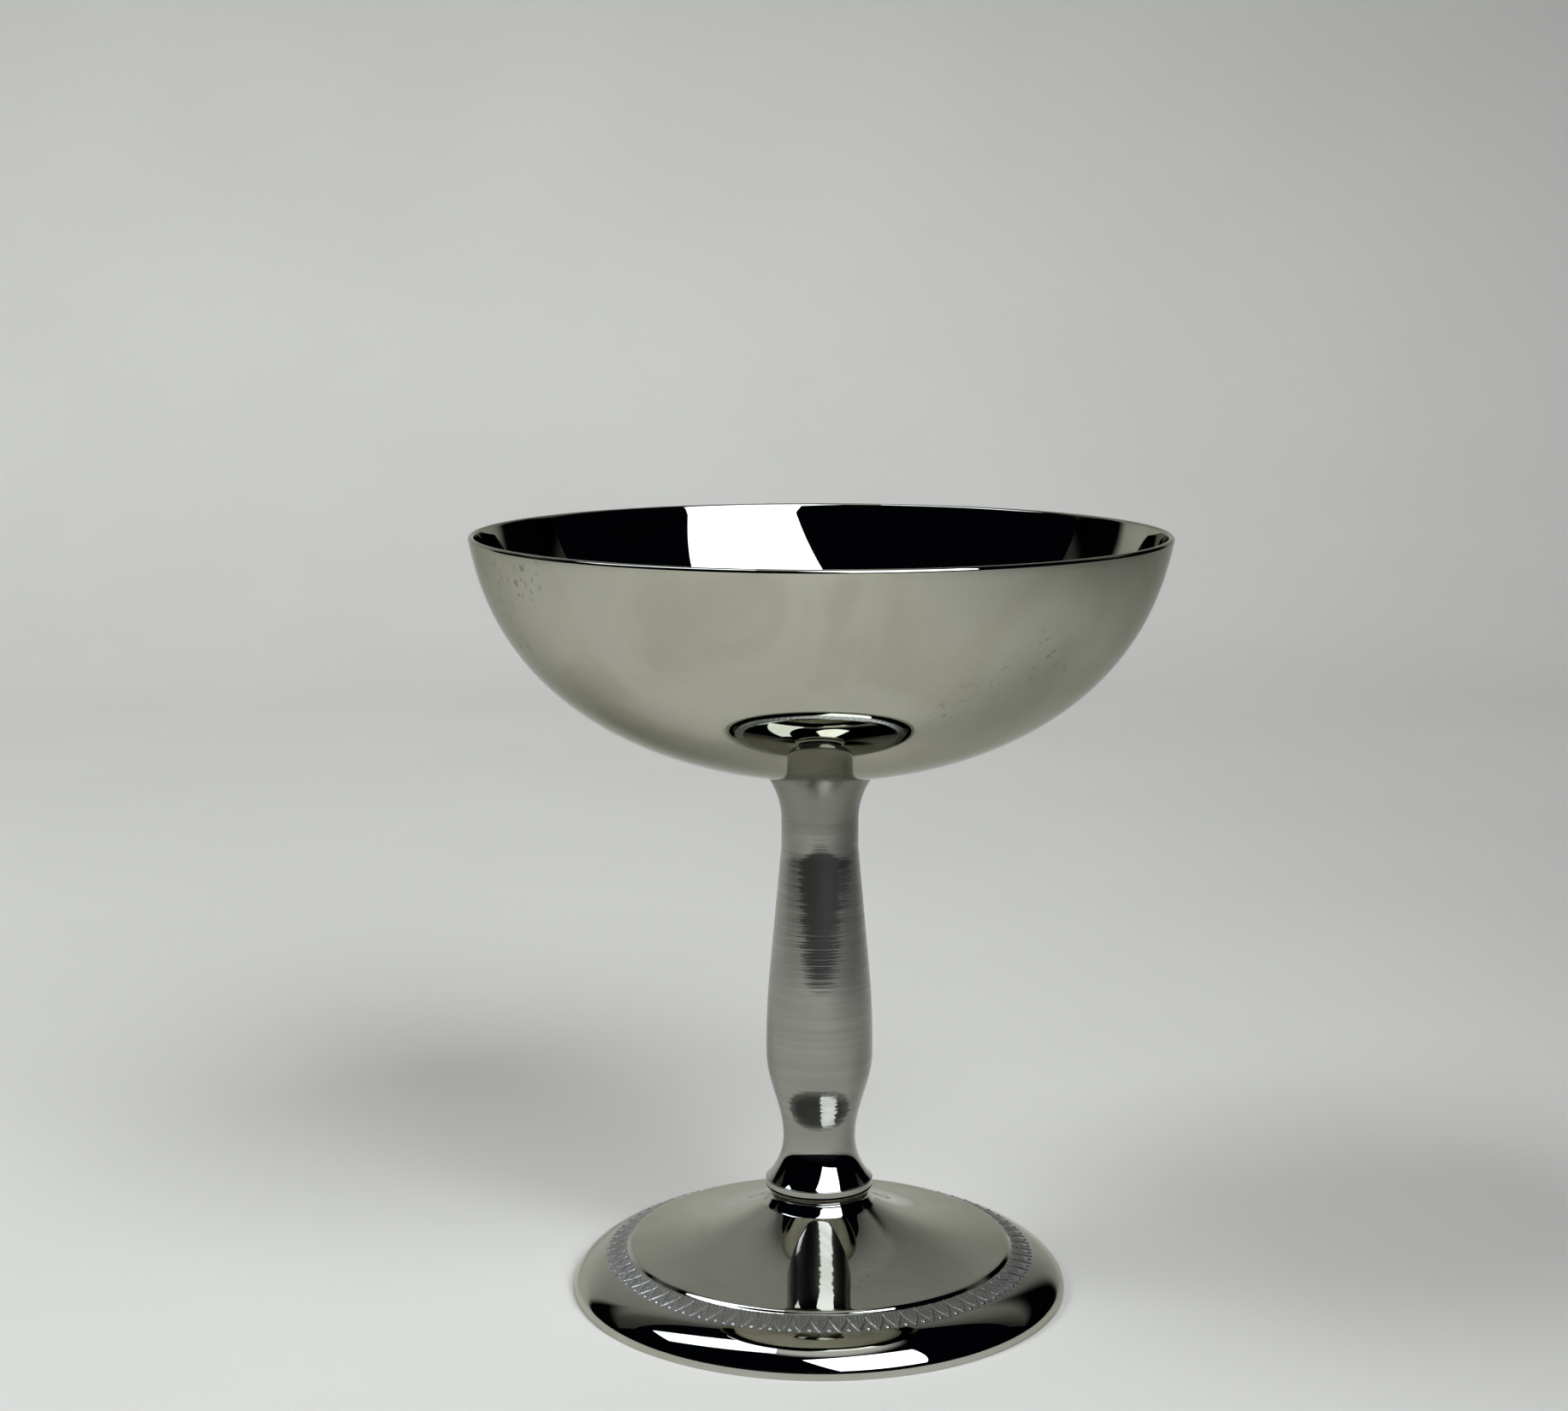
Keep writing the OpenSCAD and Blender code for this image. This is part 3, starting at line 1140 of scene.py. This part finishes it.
@dataclass
class TieRod(TurnedPiece):
    """Rod that draws cup, stem and foot together, with a head above and a thread below."""

    name = "threaded_rod"
    node = Node.ROD
    slot = Slot.ROD
    finishes = (ROD_FINISH,)
    sharp = 40.0

    head_h: float = 0.0016
    head_sunk: float = 0.00016
    shank_r: float = 0.0025
    core_r: float = 0.0021
    end_bevel: float = 0.0003
    pitch: float = 0.0008
    thread_h: float = 0.0084
    thread_start: float = 0.0006
    run_out: float = 0.0004
    ridge_sunk: float = 0.0001
    ridge_base: float = 0.00032
    ridge_crest: float = 0.000048
    turn_steps: int = 32
    segments: int = 64

    def build(self) -> Mesh:
        """Turns the rod, then winds its thread.

        Returns:
            The rod's mesh.
        """
        low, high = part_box(self.node.value)
        head_top = high.z - self.head_sunk
        head_z = head_top - self.head_h
        thread_top = low.z + self.thread_h
        section = [
            (0.0, low.z),
            (self.core_r - self.end_bevel, low.z),
            (self.core_r, low.z + self.end_bevel),
            (self.core_r, thread_top),
            (self.shank_r, thread_top + self.run_out),
            (self.shank_r, head_z),
            (high.x, head_z),
            (high.x, head_top),
            (0.0, head_top),
        ]
        mesh = turned(section, self.segments)
        self.wind(mesh, low.z + self.thread_start)
        return mesh

    def wind(self, mesh: Mesh, start_z: float) -> None:
        """Adds the ridge of the thread.

        Args:
            mesh: Mesh of the rod.
            start_z: Height at which the ridge starts.
        """
        ridge = [(self.core_r - self.ridge_sunk, -self.ridge_base), (self.shank_r, -self.ridge_crest)]
        ridge += [(radius, -height) for radius, height in reversed(ridge)]
        verts = [mesh.verts.new((radius, 0.0, start_z + height)) for radius, height in ridge]
        profile = mesh.faces.new(verts)
        turns = (self.thread_h - self.thread_start) / self.pitch
        climb = (0, 0, self.pitch / self.turn_steps)
        geom = [profile, *profile.edges, *verts]
        spin(mesh, geom, FULL_TURN * turns, round(turns * self.turn_steps), dvec=climb)
        bmesh.ops.recalc_face_normals(mesh, faces=mesh.faces)


@dataclass
class ClampParts:
    """Washers and nut in the hollow of the foot, which keep their construction shapes."""

    finishes: tuple[tuple[Node, PlatedSteel], ...] = (
        (Node.WASHER, WASHER_FINISH),
        (Node.SPRING, SPRING_FINISH),
        (Node.NUT, NUT_FINISH),
    )

    def dress(self) -> list[bpy.types.Object]:
        """Gives each construction node its finish.

        Returns:
            The dressed nodes.
        """
        dressed = []
        for node, finish in self.finishes:
            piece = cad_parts[node.value]
            piece.data.materials.clear()
            piece.data.materials.append(finish.material())
            dressed.append(piece)
        return dressed


# Studio


@dataclass
class Softbox:
    """A window-like area light, placed by its direction as seen from the cup.

    It faces the cup, or hangs level when level_turn gives its turn in degrees. Two switches
    leave it out of the metal's reflections or out of the paper's light.
    """

    name: str
    azimuth: float
    elevation: float
    distance: float
    width: float
    height: float
    radiance: float
    colour: Rgb
    in_metal: bool = True
    on_paper: bool = True
    level_turn: float | None = None

    def build(self, aim: Vector) -> None:
        """Makes the light and turns it towards a point, or levels it.

        Args:
            aim: Point that the light's direction is measured from.
        """
        light = bpy.data.lights.new(self.name, "AREA")
        light.shape = "RECTANGLE"
        light.size, light.size_y = self.width, self.height
        light.energy = self.radiance * math.pi * self.width * self.height
        light.color = self.colour
        lamp = bpy.data.objects.new(self.name, light)
        turn, rise = math.radians(self.azimuth), math.radians(self.elevation)
        away = Vector((math.sin(turn) * math.cos(rise), -math.cos(turn) * math.cos(rise), math.sin(rise)))
        lamp.location = aim + away * self.distance
        if self.level_turn is None:
            lamp.rotation_euler = (-away).to_track_quat("-Z", "Y").to_euler()
        else:
            lamp.rotation_euler.z = math.radians(self.level_turn)
        lamp.visible_camera = False
        lamp.visible_glossy = self.in_metal
        lamp.visible_diffuse = self.on_paper
        bpy.context.scene.collection.objects.link(lamp)


@dataclass
class PaperSweep:
    """Pale paper that runs under the cup and curves up into a backdrop."""

    floor_front: float = -3.2
    floor_back: float = 0.55
    sweep_r: float = 0.35
    wall_h: float = 2.0
    half_width: float = 3.2
    sink: float = 0.00005
    steps: int = 24
    tint: Rgb = (0.85, 0.85, 0.825)
    roughness: float = 0.95
    sheen: float = 0.1
    mottle: Grain = Grain(scale=9.0, detail=4.0, kept=(0.3, 0.7))
    mottle_tone: Point = (1.0, 0.97)
    # Painted shade: the paper darkens towards its left and right sides, less for camera rays and not on the
    # upper backdrop.
    side_shade_depth: Point = (0.0, 0.6)
    side_shade_spread: Point = (1.0, 0.35)
    side_shade_left: Point = (-0.20, -0.80)
    side_shade_right: Point = (-0.05, 0.45)
    side_shade_tone: Point = (1.0, 0.35)
    side_shade_top: Point = (0.45, 1.10)
    side_shade_shown: float = 0.72
    # Painted shade: the paper darkens towards the top of the backdrop.
    top_shade_fade: Point = (0.05, 0.60)
    top_shade_tone: Point = (1.0, 0.58)
    middle_x: float = -0.15
    # Painted darkness: for all but camera rays the paper turns black far out at its sides, below the top of
    # the backdrop.
    black_side_reach: Point = (0.92, 0.70)
    black_side_top: Point = (0.70, 1.10)
    far_front: Point = (-0.45, -1.0)
    far_side: Point = (0.6, 1.0)

    def build(self) -> None:
        """Draws the section from the front up to the top of the backdrop, and widens it."""
        curve = arc((self.floor_back, self.sweep_r), self.sweep_r, -90, 0, self.steps)
        outline = [(self.floor_front, 0.0)] + curve + [(self.floor_back + self.sweep_r, self.wall_h)]
        mesh = bmesh.new()
        _, edges = chain(mesh, [(-self.half_width, y, z - self.sink) for y, z in outline])
        made = bmesh.ops.extrude_edge_only(mesh, edges=edges)
        far = [item for item in made["geom"] if isinstance(item, bmesh.types.BMVert)]
        bmesh.ops.translate(mesh, verts=far, vec=(2 * self.half_width, 0.0, 0.0))
        piece = smooth_object(mesh, "sweep")
        piece.data.materials.append(new_material("sweep_paper", self.surface))

    def surface(self, graph: Graph) -> Socket:
        """Matt paper with painted shade, darker at its sides and top and painted black at its far sides
        for all but camera rays. The camera sees it fade far away.

        Args:
            graph: Graph of the material.

        Returns:
            A mix of the paper's shader and the background's colour.
        """
        place = graph.place()
        x, y, z = graph.parts(place)
        across = graph.math("ABSOLUTE", graph.math("SUBTRACT", x, self.middle_x))
        camera = graph.add("LightPath").outputs["Is Camera Ray"]
        mottle = graph.ramp(graph.noise(place, self.mottle), self.mottle.kept, self.mottle_tone)
        # Painted shade: the paper's colour darkens towards its left and right sides, less for camera rays
        # and not on the upper backdrop.
        side = graph.product(x, graph.ramp(y, self.side_shade_depth, self.side_shade_spread))
        ends = [graph.ramp(side, end, self.side_shade_tone) for end in (self.side_shade_left, self.side_shade_right)]
        shown = graph.product(camera, self.side_shade_shown)
        side_shade = graph.most(graph.product(*ends), graph.ramp(z, self.side_shade_top), shown)
        # Painted shade: the paper's colour darkens towards the top of the backdrop.
        high = graph.ramp(z, self.top_shade_fade, self.top_shade_tone)
        # Painted darkness: for all but camera rays the paper's colour turns black far out at its sides,
        # below the top of the backdrop.
        edge = graph.most(camera, graph.ramp(across, self.black_side_reach), graph.ramp(z, self.black_side_top))
        colour = graph.mix(graph.product(mottle, side_shade, high, edge), (0.0, 0.0, 0.0), self.tint)
        matt = {"Base Color": colour, "Roughness": self.roughness, "Specular IOR Level": self.sheen}
        paper = graph.add("BsdfPrincipled", matt).outputs[0]
        glow = graph.add("Emission", {"Color": BACKGROUND}).outputs[0]
        away = graph.most(graph.ramp(y, self.far_front), graph.ramp(across, self.far_side))
        return graph.add("MixShader", {0: graph.product(camera, away), 1: paper, 2: glow}).outputs[0]


@dataclass
class DarkFlag:
    """Low dark card in front, which only polished metal sees."""

    front_y: float = -0.48
    height: float = 0.12
    half_width: float = 0.9
    tint: Rgb = (0.012, 0.014, 0.018)

    def build(self) -> None:
        """Stands a flat card on the floor."""
        mesh = bmesh.new()
        bmesh.ops.create_grid(mesh, x_segments=1, y_segments=1, size=1.0)
        bmesh.ops.scale(mesh, verts=mesh.verts, vec=(self.half_width, self.height / 2, 1.0))
        for vert in mesh.verts:
            vert.co = Vector((vert.co.x, self.front_y, vert.co.y + self.height / 2))
        piece = smooth_object(mesh, "dark_flag")
        piece.data.materials.append(new_material("flag_cloth", self.surface))
        piece.visible_camera = False
        piece.visible_diffuse = False
        piece.visible_shadow = False

    def surface(self, graph: Graph) -> Socket:
        """Plain dark cloth."""
        return graph.add("BsdfDiffuse", {"Color": self.tint}).outputs[0]


@dataclass
class Room:
    """World: pale to the camera, a dark room with a pale ceiling to metal, a soft fill elsewhere."""

    tint: Rgb = (0.001, 0.0015, 0.003)
    ceiling_tint: Rgb = (0.75, 0.78, 0.80)
    ceiling_from: Point = (0.93, 0.97)
    fill_tint: Rgb = (0.06, 0.06, 0.06)

    def build(self) -> None:
        """Makes the world and sets it as the scene's own."""
        world = bpy.data.worlds.new("studio")
        bpy.context.scene.world = world
        wire(world, "OutputWorld", self.surface)

    def surface(self, graph: Graph) -> Socket:
        """Chooses the colour by the kind of ray.

        Args:
            graph: Graph of the world.

        Returns:
            The background's shader.
        """
        path = graph.add("LightPath").outputs
        up = graph.parts(graph.add("TexCoord").outputs["Generated"])[2]
        room = graph.mix(graph.ramp(up, self.ceiling_from), self.tint, self.ceiling_tint)
        lit = graph.mix(path["Is Glossy Ray"], self.fill_tint, room)
        seen = graph.mix(path["Is Camera Ray"], lit, BACKGROUND)
        return graph.add("Background", {"Color": seen}).outputs[0]


@dataclass
class Studio:
    """Pale sweep, soft lights, a dark flag in front and a dark room around."""

    aim: Vector = Vector((0.0, 0.0, 0.05))
    sky: Rgb = (0.88, 0.96, 1.12)
    cool: Rgb = (0.97, 0.99, 1.0)

    def build(self) -> None:
        """Builds the sweep, the flag, the world and the lights."""
        for part in (PaperSweep(), DarkFlag(), Room()):
            part.build()
        for box in self.softboxes():
            box.build(self.aim)

    def softboxes(self) -> list[Softbox]:
        """A window and a ceiling panel that the metal shows, and two lamps that light the paper.

        Returns:
            The lights, not yet built.
        """
        shown = {"colour": self.sky, "on_paper": False}
        hidden = {"colour": self.cool, "in_metal": False}
        return [
            Softbox(
                "right_window", azimuth=27.0, elevation=43.0, distance=1.6,
                width=1.20, height=1.40, radiance=5.0, **shown,
            ),
            Softbox(
                "top_panel", azimuth=-92.1, elevation=56.3, distance=1.443,
                width=1.15, height=0.42, radiance=3.4, level_turn=-15.0, **shown,
            ),
            Softbox(
                "right_lamp", azimuth=31.0, elevation=41.0, distance=1.6,
                width=0.90, height=0.90, radiance=7.4, **hidden,
            ),
            Softbox(
                "left_lamp", azimuth=-77.0, elevation=49.0, distance=1.6,
                width=0.70, height=0.50, radiance=9.4, **hidden,
            ),
        ]


@dataclass
class PhotoCamera:
    """Camera at the photograph's place and angle."""

    place: Vector = Vector((-0.0180, -0.3756, 0.1473))
    pitch: float = 9.12
    yaw: float = 1.95
    lens: float = 60.7
    sensor: float = 36.0
    near: float = 0.01

    def build(self) -> None:
        """Makes the camera and sets it as the scene's own."""
        data = bpy.data.cameras.new("camera")
        data.sensor_fit = "HORIZONTAL"
        data.sensor_width = self.sensor
        data.lens = self.lens
        data.clip_start = self.near
        camera = bpy.data.objects.new("camera", data)
        camera.location = self.place
        camera.rotation_euler = (math.radians(90 - self.pitch), 0.0, math.radians(-self.yaw))
        bpy.context.scene.collection.objects.link(camera)
        bpy.context.scene.camera = camera


def main() -> None:
    """Builds the camera, the studio and every piece, and reports each piece."""
    logging.basicConfig(level=logging.INFO, format="%(name)s: %(message)s")
    bpy.context.scene.view_settings.view_transform = "Standard"
    PhotoCamera().build()
    Studio().build()
    for maker in (CupBowl(), Stem(), Foot(), TieRod()):
        piece = maker.make()
        LOG.info("%s replaces %s, %d faces", piece.name, maker.node.value, len(piece.data.polygons))
    for piece in ClampParts().dress():
        LOG.info("%s dressed", piece.name)


if __name__ == "__main__":
    main()
